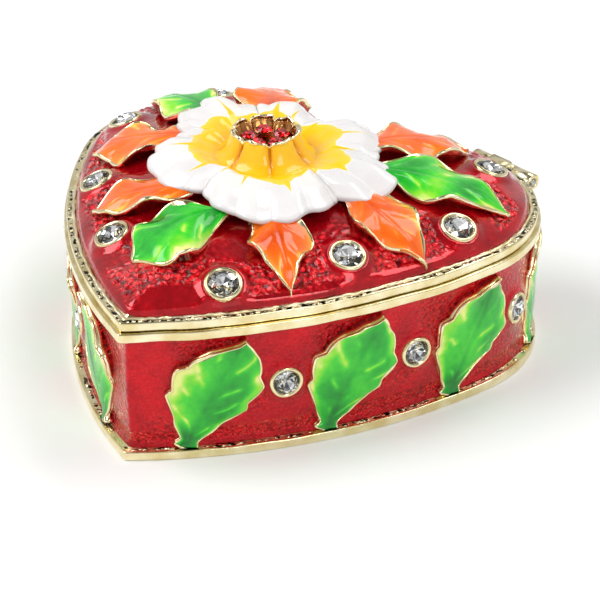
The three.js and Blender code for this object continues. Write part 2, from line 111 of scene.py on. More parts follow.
KNUCKLE_R = 1.15
KNUCKLE_GAP = 0.15
PIN_R = 0.5
PIN_PLAY = 0.06
PIN_OUT = 0.15  # how far the pin stands out of the knuckles at each end

SIDE_LEAF_W = 11.4
SIDE_LEAF_LEAN = math.radians(28)
SIDE_START = 11.4
SIDE_PITCH = 17.7
SIDE_LEAVES = 5

SEAT_Z = ENAMEL_Z + DOME_H + 1.3  # flat middle of the flower
CUP_BASE_R = 6.4
CUP_RIM_R = 4.35
CUP_TOP = SEAT_Z + FIT + 3.2
CUP_FLUTES = 7
HEART_LIFT = 0.5  # of the red stones, over the cup's cast floor
PUFFS = 19  # round the edge of the petals
STROKES = 15  # of yellow, drawn out over the petals
GAP_BEARING = math.radians(308)  # the widest gap between two flutes of the cup

# Leaves of the lid: root bearing and radius, tip bearing and share of the way to the enamel's
# edge, half width on the clockwise and the anticlockwise side, peak, lift. The larger the peak,
# the nearer the widest place is to the tip. A name ends in its leaf's colour.
LidLeaf = namedtuple(
    "LidLeaf", "root_bearing root_r tip_bearing share clockwise anticlockwise peak raised"
)
LID_LEAVES = {
    "front_orange": (303, 12.5, 308, 0.99, 3.9, 4.1, 0.8, 0.1),
    "front_green": (291, 12.6, 261, 0.85, 5.6, 6.4, 1.7, 0.0),
    "left_orange": (262, 10.5, 226, 0.92, 4.9, 3.0, 1.2, 0.3),
    "side_orange": (174, 12.0, 184, 0.94, 4.6, 5.2, 1.06, 0.1),
    "back_green": (150, 12.0, 153, 0.85, 4.2, 4.2, 1.1, 0.8),
    "back_orange": (117, 11.0, 122, 0.82, 5.2, 5.2, 1.1, 1.1),
    "lobe_orange": (42, 11.5, 48, 0.84, 4.8, 5.6, 1.1, 0.5),
    "right_green": (17, 12.5, 19, 0.96, 4.4, 6.0, 1.0, 0.2),
    "right_orange": (354, 12.0, 349, 1.0, 3.8, 5.4, 1.0, 0.1),
}

# Petals, anticlockwise: the bearing where each begins, the radius of that notch, and its own.
PETALS = [
    (-17, 13.0, 17.4), (24, 13.6, 15.0), (84, 12.0, 15.2),
    (127, 13.4, 17.6), (176, 12.6, 14.6), (262, 11.6, 16.0),
]


# ---- Numbers: soft steps and smooth seeded noise.

WAVES = 14  # summed for each ripple


def soft(low, high, x):
    """A smooth step from 0 at low to 1 at high, or down again if low is the higher."""
    x = np.clip((x - low) / (high - low), 0, 1)
    return x * x * (3 - 2 * x)


def bell(x, width):
    return np.exp(-((x / width) ** 2))


def arch(x):
    return np.sin(np.pi * x)


def ripple(points, size, seed):
    """Smooth noise of about unit size over (..., 3) points, with features about size wide."""
    rng = np.random.default_rng(seed)
    ways = rng.normal(size=(WAVES, 3))
    ways /= np.linalg.norm(ways, axis=1)[:, None]
    rates = 2 * np.pi / size * rng.uniform(0.45, 1.0, WAVES)
    phases = rng.uniform(0, 2 * np.pi, WAVES)
    total = np.zeros(points.shape[:-1])
    for way, rate, phase in zip(ways, rates, phases):
        total += np.sin(points @ way * rate + phase)
    return total / math.sqrt(WAVES / 2)


def saw(x, fall):
    """A tooth that rises slowly and falls fast, from 0 to 1, once for each whole x."""
    part = x % 1
    return np.where(part < 1 - fall, part / (1 - fall), (1 - part) / fall)


def compass(bearing):
    """Unit vectors in plan at the bearings."""
    return np.stack([np.cos(bearing), np.sin(bearing)], -1)


def level(loop, z):
    """A loop of 2-D points at a height, or at a height for each point."""
    return np.c_[loop, np.zeros(len(loop)) + z]


def all_round(steps):
    return np.linspace(0, 2 * np.pi, steps, endpoint=False)


# ---- The outline: a flank arc, a lobe arc and a cleft arc on each side.

to_flank = np.array([-math.cos(TIP_HALF_ANGLE), math.sin(TIP_HALF_ANGLE)])
tip = np.array([0, TIP_Y])
lobe = np.array([LOBE_X, LOBE_Y])
from_lobe = tip - lobe
FLANK_R = (LOBE_R**2 - from_lobe @ from_lobe) / (2 * (from_lobe @ to_flank + LOBE_R))
flank = tip + FLANK_R * to_flank
CLEFT_Y = LOBE_Y + math.sqrt((LOBE_R + CLEFT_R) ** 2 - LOBE_X**2)
FLANK_START = -math.acos(-flank[0] / FLANK_R)
FLANK_END = math.atan2(LOBE_Y - flank[1], LOBE_X - flank[0])
LOBE_END = math.atan2(CLEFT_Y - LOBE_Y, -LOBE_X)
FLANK_LENGTH = FLANK_R * (FLANK_END - FLANK_START)
TIP_SLOPE = 1 / math.tan(TIP_HALF_ANGLE)

# Steps along the flank, the lobe and the cleft on each side.
FINE = (230, 220, 12)
PLAIN = (90, 80, 8)


def outline(inset, steps=PLAIN, round_tip=ROUND_TIP):
    """The heart drawn in by inset, from the tip anticlockwise, as (n, 2) points."""
    r = FLANK_R - inset
    start = -math.acos(-flank[0] / r)
    graded = np.linspace(0, 1, steps[0] + 1) ** 1.3
    parts = [flank + r * compass(start + (FLANK_END - start) * graded)]
    angles = np.linspace(FLANK_END, LOBE_END, steps[1] + 1)[1:]
    parts.append(lobe + (LOBE_R - inset) * compass(angles))
    angles = np.linspace(LOBE_END - np.pi, -np.pi / 2, steps[2] + 1)[1:]
    parts.append([0, CLEFT_Y] + (CLEFT_R + inset) * compass(angles))
    right = np.vstack(parts)
    loop = np.vstack([right, (right[1:-1] * [-1, 1])[::-1]])
    low = loop[:, 1] < LOBE_Y
    x = np.abs(loop[:, 0])
    loop[:, 1] += low * TIP_SLOPE * (np.hypot(x, round_tip) - x)
    return loop


def outward(loop):
    """Unit normals of an anticlockwise loop of 2-D points."""
    step = np.roll(loop, -1, 0) - np.roll(loop, 1, 0)
    normal = np.c_[step[:, 1], -step[:, 0]]
    return normal / np.linalg.norm(normal, axis=1)[:, None]


def ring(inset, z, steps=PLAIN, round_tip=ROUND_TIP):
    return level(outline(inset, steps, round_tip), z)


def webbed(loop, back=0.0):
    """A loop of the hollow, cut off where the tip begins to be solid, or back nearer the tip."""
    return np.c_[loop[:, 0], np.maximum(loop[:, 1], WEB_Y - back), loop[:, 2]]


def hollow(inset, z):
    return webbed(ring(inset, z), INNER - inset)


# ---- The dome, and a place on the wall.

dome_edge = outline(DOME_IN, FINE, 0.0) - CENTRE
edge_bearing = np.arctan2(dome_edge[:, 1], dome_edge[:, 0])
by_bearing = np.argsort(edge_bearing)
EDGE_BEARINGS = edge_bearing[by_bearing]
EDGE_RADII = np.hypot(*dome_edge.T)[by_bearing]


def rise(share):
    return np.clip(1 - np.minimum(share, 1) ** 2, 0, 1) ** 0.75


def reach(bearing):
    return np.interp(bearing, EDGE_BEARINGS, EDGE_RADII, period=2 * np.pi)


def dome_z(x, y):
    """Height of the dome's enamel, which depends on the share of the way to its edge."""
    dx, dy = x - CENTRE[0], y - CENTRE[1]
    share = np.hypot(dx, dy) / reach(np.arctan2(dy, dx))
    return ENAMEL_Z + DOME_H * rise(share)


def dome_normal(x, y):
    h = 0.2
    dx = (dome_z(x + h, y) - dome_z(x - h, y)) / (2 * h)
    dy = (dome_z(x, y + h) - dome_z(x, y - h)) / (2 * h)
    normal = np.array([-dx, -dy, 1.0])
    return normal / np.linalg.norm(normal)


def wall(u, lift, z):
    """Points on the wall's enamel: u runs along the outline from the tip, positive to the right."""
    along = np.abs(u)
    on_flank = along < FLANK_LENGTH
    lobe_angle = FLANK_END + (along - FLANK_LENGTH) / LOBE_R
    angle = np.where(on_flank, FLANK_START + along / FLANK_R, lobe_angle)
    r = np.where(on_flank, FLANK_R, LOBE_R) - WALL_IN + lift
    x = np.where(on_flank, flank[0], LOBE_X) + r * np.cos(angle)
    y = np.where(on_flank, flank[1], LOBE_Y) + r * np.sin(angle)
    return np.stack([np.sign(u) * x, y, z + 0 * x], -1)


# ---- Meshes.


def added(name, data):
    """A new object in the scene."""
    thing = bpy.data.objects.new(name, data)
    bpy.context.scene.collection.objects.link(thing)
    return thing


def make(name, shell, material, body, replaces=(), fields=None, smooth=True):
    """A piece from (points in millimetres, faces), riding on a body of the frame."""
    points, faces = shell
    mesh = bpy.data.meshes.new(name)
    mesh.from_pydata((np.asarray(points) * MM).tolist(), [], faces)
    for field, values in (fields or {}).items():
        layer = mesh.attributes.new(field, "FLOAT", "POINT")
        layer.data.foreach_set("value", np.asarray(values, np.float32).ravel())
    shape = bmesh.new()
    shape.from_mesh(mesh)
    bmesh.ops.recalc_face_normals(shape, faces=shape.faces)
    shape.to_mesh(mesh)
    shape.free()
    mesh.polygons.foreach_set("use_smooth", [smooth] * len(mesh.polygons))
    mesh.materials.append(material)
    piece = added(name, mesh)
    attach(piece, body)
    if replaces:
        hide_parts(*replaces)
    return piece


def band(rows, columns, first=0, wrap_rows=False, wrap_columns=True):
    """Quads over a grid of points numbered row by row from first."""
    i = np.arange(rows if wrap_rows else rows - 1)
    j = np.arange(columns if wrap_columns else columns - 1)
    i, j = [a.ravel() for a in np.meshgrid(i, j, indexing="ij")]
    i2, j2 = (i + 1) % rows, (j + 1) % columns
    corners = [i * columns + j, i * columns + j2, i2 * columns + j2, i2 * columns + j]
    return (np.stack(corners, 1) + first).tolist()


def loft(loops, ends=None):
    """Points and faces through closed loops. ends is None to join the last loop to the first, or
    the two middle points of the fans that close the first and the last loop."""
    loops = np.asarray(loops)
    rows, columns = loops.shape[:2]
    points = loops.reshape(-1, 3)
    faces = band(rows, columns, wrap_rows=ends is None)
    if ends is not None:
        points = np.vstack([points, ends])
        last = (rows - 1) * columns
        for j in range(columns):
            k = (j + 1) % columns
            faces.append([rows * columns, k, j])
            faces.append([rows * columns + 1, last + j, last + k])
    return points, faces


def standing_on(at, normal, turn=0.0):
    """The matrix that stands a piece on a point, in millimetres, with +Z along the normal."""
    tilt = Vector(normal).to_track_quat("Z", "Y").to_matrix().to_4x4()
    return Matrix.Translation(Vector(at)) @ tilt @ Matrix.Rotation(turn, 4, "Z")


def moved(points, matrix):
    m = np.array(matrix)
    return np.asarray(points) @ m[:3, :3].T + m[:3, 3]


def lathe(profile, steps, matrix):
    """A closed turned shape: profile is (radius, height) from the axis at the bottom to the top."""
    circle = compass(all_round(steps))
    loops = [level(r * circle, z) for r, z in profile[1:-1]]
    ends = [[0, 0, profile[0][1]], [0, 0, profile[-1][1]]]
    points, faces = loft(loops, ends)
    return moved(points, matrix), faces


def gathered(parts):
    """Several (points, faces) as one."""
    points, faces, count = [], [], 0
    for p, f in parts:
        points.append(p)
        faces += [[i + count for i in face] for face in f]
        count += len(p)
    return np.vstack(points), faces


# ---- Materials.


def rgb(red, green, blue):
    """A colour given in display values from 0 to 255, as the linear colour a socket takes."""
    display = np.array([red, green, blue]) / 255
    linear = np.where(display < 0.04045, display / 12.92, ((display + 0.055) / 1.055) ** 2.4)
    return (*linear.tolist(), 1.0)


def fill_ramp(node, stops):
    """Set a colour ramp's stops, given as (place, linear colour)."""
    line = node.color_ramp.elements
    while len(line) < len(stops):
        line.new(0.5)
    for stop, (place, colour) in zip(line, stops):
        stop.position = place
        stop.color = colour


class Look:
    """One material's node tree, with short calls for the nodes it takes."""

    def __init__(self, name, **constants):
        self.material = bpy.data.materials.new(name)
        self.material.use_nodes = True
        self.tree = self.material.node_tree
        self.shader = self.tree.nodes["Principled BSDF"]
        self.place = self.node("TexCoord").outputs["Object"]
        for socket, value in constants.items():
            self.shader.inputs[socket.replace("_", " ")].default_value = value

    def node(self, kind, **settings):
        node = self.tree.nodes.new(f"ShaderNode{kind}")
        for key, value in settings.items():
            setattr(node, key, value)
        return node

    def link(self, source, target):
        self.tree.links.new(source, target)

    def texture(self, kind, size):
        node = self.node(kind)
        node.inputs["Scale"].default_value = 1 / (size * MM)
        self.link(self.place, node.inputs["Vector"])
        return node

    def noise(self, size, detail):
        node = self.texture("TexNoise", size)
        node.inputs["Detail"].default_value = detail
        return node.outputs["Fac"]

    def cells(self, size):
        """Distance from the middle of each cell, over its size."""
        return self.texture("TexVoronoi", size).outputs["Distance"]

    def field(self, name):
        return self.node("Attribute", attribute_name=name).outputs["Fac"]

    def math(self, operation, a, b):
        node = self.node("Math", operation=operation)
        for socket, value in zip(node.inputs, (a, b)):
            if isinstance(value, (int, float)):
                socket.default_value = value
            else:
                self.link(value, socket)
        return node.outputs[0]

    def ramp(self, source, stops):
        node = self.node("ValToRGB")
        fill_ramp(node, stops)
        self.link(source, node.inputs["Fac"])
        return node.outputs["Color"]

    def shades(self, source, stops):
        """A ramp through colours given in display values."""
        return self.ramp(source, [(place, rgb(*colour)) for place, colour in stops])

    def between(self, source, low, high, out_low, out_high):
        node = self.node("MapRange")
        values = {"From Min": low, "From Max": high, "To Min": out_low, "To Max": out_high}
        for socket, value in values.items():
            node.inputs[socket].default_value = value
        self.link(source, node.inputs["Value"])
        return node.outputs["Result"]

    def drift(self, size, detail, low, high):
        """A value that wanders between low and high."""
        return self.between(self.noise(size, detail), 0.3, 0.7, low, high)

    def mix(self, share, a, b):
        node = self.node("Mix", data_type="RGBA")
        self.link(share, node.inputs["Factor"])
        self.link(a, node.inputs["A"])
        self.link(b, node.inputs["B"])
        return node.outputs["Result"]

    def bump(self, height, depth, target="Normal"):
        node = self.node("Bump")
        node.inputs["Distance"].default_value = depth * MM
        self.link(height, node.inputs["Height"])
        self.link(node.outputs["Normal"], self.shader.inputs[target])

    def colour(self, source):
        self.link(source, self.shader.inputs["Base Color"])

    def roughness(self, source):
        self.link(source, self.shader.inputs["Roughness"])


def gold_look(
    name, dark, light, rough, dent=0.03, dent_size=0.8, cloud=2.6, stops=(0.35, 0.65)
):
    """Plated metal: clouds of a darker and a lighter shade, and shallow dents."""
    look = Look(name, Metallic=1.0)
    look.colour(look.shades(look.noise(cloud, 4), [(stops[0], dark), (stops[1], light)]))
    look.roughness(look.drift(1.4, 3, rough, rough + 0.12))
    look.bump(look.noise(dent_size, 2), dent)
    return look.material


def red_look(name, dark, light, grain_size, gloss):
    """Clear red enamel: pebbled metal shows through a smooth coat, and grain lets it rise."""
    coat = {"Coat_Weight": 1.0, "Coat_Roughness": 0.02, "Coat_IOR": gloss}
    look = Look(name, Metallic=0.45, Specular_IOR_Level=0.12, **coat)
    grain = look.field("grain")
    pebbles = look.cells(grain_size)
    deep = look.shades(look.noise(3.5, 3), [(0.3, dark), (0.7, light)])
    # Where there is grain the pebbles show, with their painted highlight and painted shade.
    look.colour(look.mix(grain, deep, look.shades(pebbles, LIT_PEBBLE_STOPS)))
    look.roughness(look.drift(0.7, 2, 0.14, 0.32))
    height = look.math("MULTIPLY", pebbles, look.between(grain, 0, 1, 0.12, 1.0))
    look.bump(height, -0.45)
    dimples = look.math("MULTIPLY", look.cells(grain_size * 1.2), grain)
    look.bump(dimples, -0.6, target="Coat Normal")
    return look.material


def paint_look(name, stops, fleck=0.06):
    """Glossy opaque enamel whose colour follows the mesh's tone, a little unevenly."""
    look = Look(name, Coat_Weight=0.4, Coat_Roughness=0.03, Specular_IOR_Level=0.3)
    tone = look.math("ADD", look.field("tone"), look.drift(1.1, 3, -fleck, fleck))
    look.colour(look.shades(tone, stops))
    look.roughness(look.drift(2.0, 2, 0.12, 0.24))
    look.bump(look.noise(1.6, 2), 0.05)
    return look.material


def crown_look(name, colour):
    """Clear glass, very slightly clouded."""
    look = Look(name, Transmission_Weight=1.0, IOR=1.54, Roughness=0.0)
    paler = [min(c + 6, 255) for c in colour]
    look.colour(look.shades(look.noise(1.5, 2), [(0.3, colour), (0.7, paler)]))
    return look.material


def foil_look(name, dark, light):
    """Mirror-backed facets: shade is set face by face, and the darker faces are painted dark
    reflections.
    """
    look = Look(name, Metallic=1.0, Roughness=0.04)
    look.colour(look.shades(look.field("shade"), [(0.0, dark), (1.0, light)]))
    return look.material


# Pebbles under the red enamel: a painted highlight of pale pink at each crown and painted shade of
# near-black red between them.
LIT_PEBBLE_STOPS = [
    (0.1, (255, 70, 70)), (0.38, (244, 14, 30)), (0.62, (172, 0, 16)),
    (0.88, (84, 0, 8)),
]
GOLD = gold_look("gold", (230, 212, 156), (250, 240, 202), 0.13)
SATIN = gold_look("satin_gold", (238, 226, 176), (252, 246, 216), 0.34)
# Near-black patches over about half of this gold are painted shade and dark reflection for the
# groove beside the enamel; the dents are real.
HAMMERED_SHADED_GOLD = gold_look(
    "hammered_gold_painted_shade", (14, 9, 4), (246, 236, 196), 0.1, 0.2, 0.35, cloud=0.6, stops=(0.45, 0.54)
)
# A darker, browner gold for the inside of the cup.
BROWN_GOLD = gold_look("cup_lining", (120, 62, 30), (196, 140, 84), 0.16, 0.1, 0.6)
STEEL = gold_look("steel", (168, 168, 166), (214, 214, 212), 0.2, 0.02, 0.5)
LID_RED = red_look("lid_red", (150, 0, 14), (206, 6, 24), 0.75, 1.42)
WALL_RED = red_look("wall_red", (158, 2, 16), (206, 10, 26), 0.42, 1.28)
GREEN_STOPS = [
    (0.02, (10, 124, 36)), (0.28, (30, 180, 44)), (0.5, (70, 214, 50)),
    (0.7, (146, 230, 54)), (0.95, (236, 242, 140)),
]
ORANGE_STOPS = [
    (0.02, (214, 68, 4)), (0.3, (250, 104, 20)), (0.6, (255, 128, 38)),
    (0.8, (255, 158, 58)), (0.97, (255, 202, 74)),
]
# The lowest stop is the grey of painted shade on the white.
PETAL_STOPS = [
    (0.0, (206, 203, 204)), (0.3, (240, 237, 236)), (0.48, (243, 239, 230)),
    (0.53, (255, 216, 60)), (0.7, (255, 206, 24)), (1.0, (248, 180, 0)),
]
# The darkest stop is for the painted shade in the splits between flutes.
CUP_STOPS = [(0.1, (208, 130, 0)), (0.4, (250, 176, 0)), (0.9, (255, 210, 36))]
PAINTS = {
    "green": paint_look("green_enamel", GREEN_STOPS),
    "orange": paint_look("orange_enamel", ORANGE_STOPS),
    "petal": paint_look("petal_enamel", PETAL_STOPS, fleck=0.012),
    "cup": paint_look("cup_enamel", CUP_STOPS),
}
# The foils' darker shades are painted dark reflections on the facets.
CLEAR = (
    crown_look("clear_crown", (248, 249, 250)),
    foil_look("clear_foil", (70, 72, 76), (255, 255, 255)),
)
RED = (
    crown_look("red_crown", (240, 40, 56)),
    foil_look("red_foil", (150, 20, 34), (255, 150, 150)),
)


# ---- Where the stones sit: an axis point on the enamel and the surface's normal.


def lid_spot(name):
    """Where a stone's axis meets the dome, stepped towards from the stone's middle."""
    at = middle = middle_mm(name)
    for _ in range(4):
        normal = dome_normal(at[0], at[1])
        height = (middle[2] - dome_z(at[0], at[1])) * normal[2]
        at = middle - normal * height
    return np.r_[at[:2], dome_z(at[0], at[1])], dome_normal(at[0], at[1])


wall_loop = outline(WALL_IN, FINE)
wall_normals = outward(wall_loop)


def side_spot(name):
    middle = middle_mm(name)
    nearest = np.argmin(np.hypot(*(wall_loop - middle[:2]).T))
    return np.r_[wall_loop[nearest], middle[2]], np.r_[wall_normals[nearest], 0]


lid_stones = [f"lid_stone_{i + 1}" for i in range(LID_STONES)]
side_stones = [f"side_stone_right_{i}" for i in range(1, SIDE_LEAVES)]
side_stones += [f"side_stone_left_{i}" for i in range(1, SIDE_LEAVES)]
lid_spots = [lid_spot(name) for name in lid_stones]
side_spots = [side_spot(name) for name in side_stones]

FAR = 99.0
SAME_FACE = 3.0  # a stone further off along its own axis is round a corner


def relief(points, spots, stone_r):
    """How the enamel rises to the bezels and drops inside them, and the distance to the nearest."""
    nearest = np.full(points.shape[:-1], FAR)
    for at, normal in spots:
        away = points - at
        height = away @ normal
        distance = np.sqrt(np.maximum((away**2).sum(-1) - height**2, 0))
        nearest = np.minimum(nearest, np.where(np.abs(height) < SAME_FACE, distance, FAR))
    lip = stone_r + BEZEL_WALL
    climb = 0.34 * bell(nearest - lip, 0.75) + 0.12 * bell(nearest - lip, 2.2)
    dip = (0.55 + climb) * soft(lip - 0.05, lip - 0.3, nearest)
    return climb - dip, nearest - lip


# ---- Castings.

EDGE = 0.18  # a flange's rounding
QUARTER = [(1.0, 0.0), (0.6, 0.08), (0.29, 0.29), (0.08, 0.6), (0.0, 1.0)]
CAST_WAVER = 0.035


def flange_profile(low, high, inset):
    """A flange's rounded outer edge as (inset, z) from its underside to its top."""
    bottom = [(inset + EDGE * a, low + EDGE * b) for a, b in QUARTER]
    top = [(inset + EDGE * a, high - EDGE * b) for a, b in reversed(QUARTER)]
    return bottom + top


def uneven(loops):
    """Cast edges are never quite straight, but the underside stays flat."""
    loops = np.asarray(loops)
    loops[..., 2] += CAST_WAVER * ripple(loops, 5.0, 3) * (loops[..., 2] > 0.2)
    return loops


def base_casting():
    top = BASE_H - FLANGE_H
    profile = flange_profile(0, FLANGE_H, 0)
    profile += [(WALL_RECESS - 0.15, FLANGE_H + 0.05), (WALL_RECESS, FLANGE_H + 0.3)]
    profile += [(WALL_RECESS, top - 0.3), (WALL_RECESS - 0.15, top - 0.05)]
    profile += flange_profile(top, BASE_H, 0)
    loops = [ring(inset, z) for inset, z in profile]
    inside = [(INNER - 0.5, BASE_H), (INNER - 0.3, BASE_H), (INNER - 0.08, BASE_H - 0.08)]
    inside += [(INNER, BASE_H - 0.3), (INNER, BASE_H - 0.6)]
    inside += [(INNER, FLOOR_T + 0.8), (INNER + 0.25, FLOOR_T + 0.25), (INNER + 0.8, FLOOR_T)]
    loops += [hollow(inset, z) for inset, z in inside]
    shell = loft(uneven(loops), [[*CENTRE, 0], [*CENTRE, FLOOR_T]])
    make("base_casting", shell, GOLD, "base", ["base_shell"])


def scaled(loop, share, z):
    return level(CENTRE + share * (loop - CENTRE), z)


def lid_casting():
    spring = LID_LOW + FLANGE_H / 2  # where the vault inside begins
    vault = RIM_Z + DOME_H - DOME_T - spring
    vault_plan = outline(INNER)
    shares = np.sin(np.linspace(0.08, np.pi / 2, 16))
    loops = [webbed(scaled(vault_plan, s, spring + vault * rise(s))) for s in shares]
    loops += [hollow(INNER, LID_LOW + 0.25), hollow(INNER - 0.08, LID_LOW + 0.08)]
    loops += [hollow(INNER - 0.3, LID_LOW), hollow(INNER - 0.5, LID_LOW)]
    loops += [ring(inset, z) for inset, z in flange_profile(LID_LOW, RIM_Z, LID_STEP)]
    under_enamel = outline(DOME_IN)
    loops.append(level(under_enamel, RIM_Z))
    cover = RIM_Z - FIT
    loops += [scaled(under_enamel, s, cover + DOME_H * rise(s)) for s in shares[::-1][1:]]
    middles = [spring + vault * rise(shares[0]), cover + DOME_H * rise(shares[0])]
    shell = loft(uneven(loops), [[*CENTRE, z] for z in middles])
    make("lid_casting", shell, GOLD, "lid", ["lid_shell"])


# Sections of the trim, as (outwards from its inset, above its foot).
BEAD = [(0.48, -0.06), (0.44, 0.06), (0.3, 0.15), (0.1, 0.13), (-0.1, -0.06)]
TRENCH = [(1.05, -0.06), (0.97, 0.03), (0.76, 0.06), (0.54, 0.03), (0.4, -0.06)]
TRIM_WAVER = 0.05

# Sections of a bezel, as (out from its outer wall, height) and (out from the stone, height).
BEZEL_LIP = [(0.1, -0.53), (0.04, 0.2), (0.0, 0.48), (-0.1, 0.66), (-0.26, 0.72), (-0.36, 0.66)]
BEZEL_WELL = [(-0.12, 0.58), (-0.08, 0.42), (0.02, 0.34), (-0.1, -0.45)]
BEZEL_STEPS = 48


def trim_line(name, body, inset, z, seed, section, material):
    """A line of metal along a flange, struck by hand."""
    loops = []
    for out, up in section:
        loop = outline(inset - out, FINE)
        at = level(loop, z + up)
        flat = at * [1, 1, 0]
        strike = ripple(flat, 1.1, seed)
        at[:, 2] += TRIM_WAVER * strike * (up > 0)
        at[:, :2] += TRIM_WAVER * outward(loop) * ripple(flat, 1.6, seed + 1)[:, None]
        loops.append(at)
    make(name, loft(loops), material, body)


def bezels(name, spots, stone_r, body):
    """Rings with a rolled lip that holds the stone's girdle, and a flat floor under the culet."""
    outer = stone_r + BEZEL_WALL
    rows = [(outer + out, z) for out, z in BEZEL_LIP]
    rows += [(stone_r + out, z) for out, z in BEZEL_WELL]
    ends = [[0, 0, rows[0][1]], [0, 0, rows[-1][1]]]
    circle = compass(all_round(BEZEL_STEPS))
    parts = []
    for number, (at, normal) in enumerate(spots):
        waver = 0.012 * ripple(level(circle, number), 0.9, 31)
        loops = [level(circle * (r * (1 + waver))[:, None], z) for r, z in rows]
        points, faces = loft(loops, ends)
        parts.append((moved(points, standing_on(at, normal)), faces))
    make(name, gathered(parts), GOLD, body)


def skirt(rows, columns):
    """Quads between the edges of an upper and a lower grid of the same size, and that edge."""
    top = np.arange(rows * columns).reshape(rows, columns)
    low = top + rows * columns
    edge = [(0, j) for j in range(columns)]
    edge += [(i, columns - 1) for i in range(1, rows)]
    edge += [(rows - 1, j) for j in range(columns - 2, -1, -1)]
    edge += [(i, 0) for i in range(rows - 2, 0, -1)]
    faces = []
    for here, then in zip(edge, edge[1:] + edge[:1]):
        faces.append([int(top[here]), int(low[here]), int(low[then]), int(top[then])])
    return faces, edge


def grid_normals(points):
    along = np.roll(points, -1, 1) - np.roll(points, 1, 1)
    inward = np.gradient(points, axis=0)
    normal = np.cross(along, inward)
    return normal / np.linalg.norm(normal, axis=-1, keepdims=True)


def lid_enamel():
    """The dome's skin, from its edge up to well under the petals, with a smooth foot and crown."""
    edge = outline(DOME_IN, FINE, 0.7)
    outer = 1 - np.linspace(0, 1, 12) ** 1.5 * 0.03
    shares = np.r_[outer, np.linspace(0.962, 0.62, 62), np.linspace(0.61, 0.3, 28)]
    shares = shares[:, None]
    flat = CENTRE + shares[..., None] * (edge - CENTRE)
    z = RIM_Z + 0.55 * np.sqrt(np.clip((1 - shares) / 0.014, 0, 1)) + DOME_H * rise(shares)
    points = np.concatenate([flat, np.broadcast_to(z, flat.shape[:2])[..., None]], -1)
    climb, clear = relief(points, lid_spots, LID_STONE_R)
    from_edge = (1 - shares) * np.hypot(*(edge - CENTRE).T)
    patches = soft(-0.6, 0.3, ripple(points, 11.0, 5))
    zone = soft(0.68, 0.82, shares) * soft(0.8, 1.5, from_edge)
    grain = patches * zone * soft(0.7, 1.5, clear)
    body = soft(0.1, 0.8, from_edge)
    waves = 0.07 * ripple(points, 7.0, 6) + 0.11 * grain * ripple(points, 1.0, 7)
    lift = climb * body + body * waves
    points = points + grid_normals(points) * lift[..., None]
    heights = RIM_Z + FIT - 0.02 + DOME_H * rise(shares[::-12, 0])
    under = np.stack([level(loop, height) for loop, height in zip(flat[::-12], heights)])
    fields = {"grain": np.r_[grain.ravel(), np.zeros(under[..., 0].size)]}
    shell = loft(np.concatenate([points, under]))
    make("lid_enamel_skin", shell, LID_RED, "lid", ["lid_enamel"], fields)


def wall_enamel():
    """The wall's skin, raised round the bezels and drawn up at both flanges."""
    low, high = FLANGE_H + FIT, BASE_H - FLANGE_H - FIT
    turn = np.sin(np.linspace(0, np.pi / 2, 8)) * 0.9 * 0.55
    heights = np.r_[low + turn, np.linspace(low + 0.65, high - 0.65, 64), high - turn[::-1]]
    loop = outline(WALL_IN, FINE, WALL_ROUND_TIP)
    points = np.stack([level(loop, z) for z in heights])
    climb, clear = relief(points, side_spots, SIDE_STONE_R)
    edge = np.minimum(heights - low, high - heights)[:, None]
    above = points[..., 2] - low
    patches = soft(0.1, 1.0, ripple(points, 9.0, 15)) * soft(0.3, 1.2, clear)
    grain = 0.12 + 0.3 * patches * soft(0.4, 1.4, edge)
    grain = np.maximum(grain, 0.55 * soft(2.6, 1.9, above) * soft(0.5, 0.9, above))
    lift = climb + 0.05 * ripple(points, 6.0, 16) + 0.22 * np.exp(-edge / 0.35)
    points = points + level(outward(loop), 0) * lift[..., None]
    back = [ring(WALL_RECESS - 0.02, z, FINE, WALL_ROUND_TIP) for z in (high, low)]
    fields = {"grain": np.r_[grain.ravel(), np.zeros(2 * len(loop))]}
    shell = loft(np.concatenate([points, back]))
    make("wall_enamel_skin", shell, WALL_RED, "base", ["base_enamel"], fields)


# ---- Leaves.

LEAF_ROWS = 72
LEAF_COLUMNS = 41
LEAF_T = 0.3
LEAF_FOOT = -0.15  # the rim's foot, below the enamel

# Over the grid of a leaf, t runs from the stem to the tip and u from one side to the other.
t = np.linspace(0, 1, LEAF_ROWS)[:, None]
u = np.linspace(-1, 1, LEAF_COLUMNS)[None, :]
leaf_walls, leaf_edge = skirt(LEAF_ROWS, LEAF_COLUMNS)
fold = bell(u, 0.07) * arch(np.clip(t * 1.1, 0, 1))
vein = (1 - np.abs(2 * (((t - 0.22 * np.abs(u)) * 5.2 + 0.15 * np.sign(u)) % 1) - 1)) ** 3.5
vein = vein * soft(0.1, 0.3, np.abs(u)) * soft(0.06, 0.2, t) * soft(0.97, 0.8, t)

# How a leaf is cut: the teeth on each side, the share of a tooth that falls back and how deep
# it bites; the larger the peak, the nearer the widest place is to the tip; how much the point
# is drawn in, how far the middle bends aside, how far one side runs ahead of the other, and
# how far the rim's foot tucks in under the leaf, or spreads out if it is negative.
Cut = namedtuple("Cut", "teeth fall bite peak drawn bend shear undercut")

# Section of a leaf's rim, as (outwards, up) from the leaf's edge.
RIM = [(-0.1, 0.0), (-0.03, 0.08), (0.06, 0.09), (0.13, 0.01), (0.15, -0.25)]


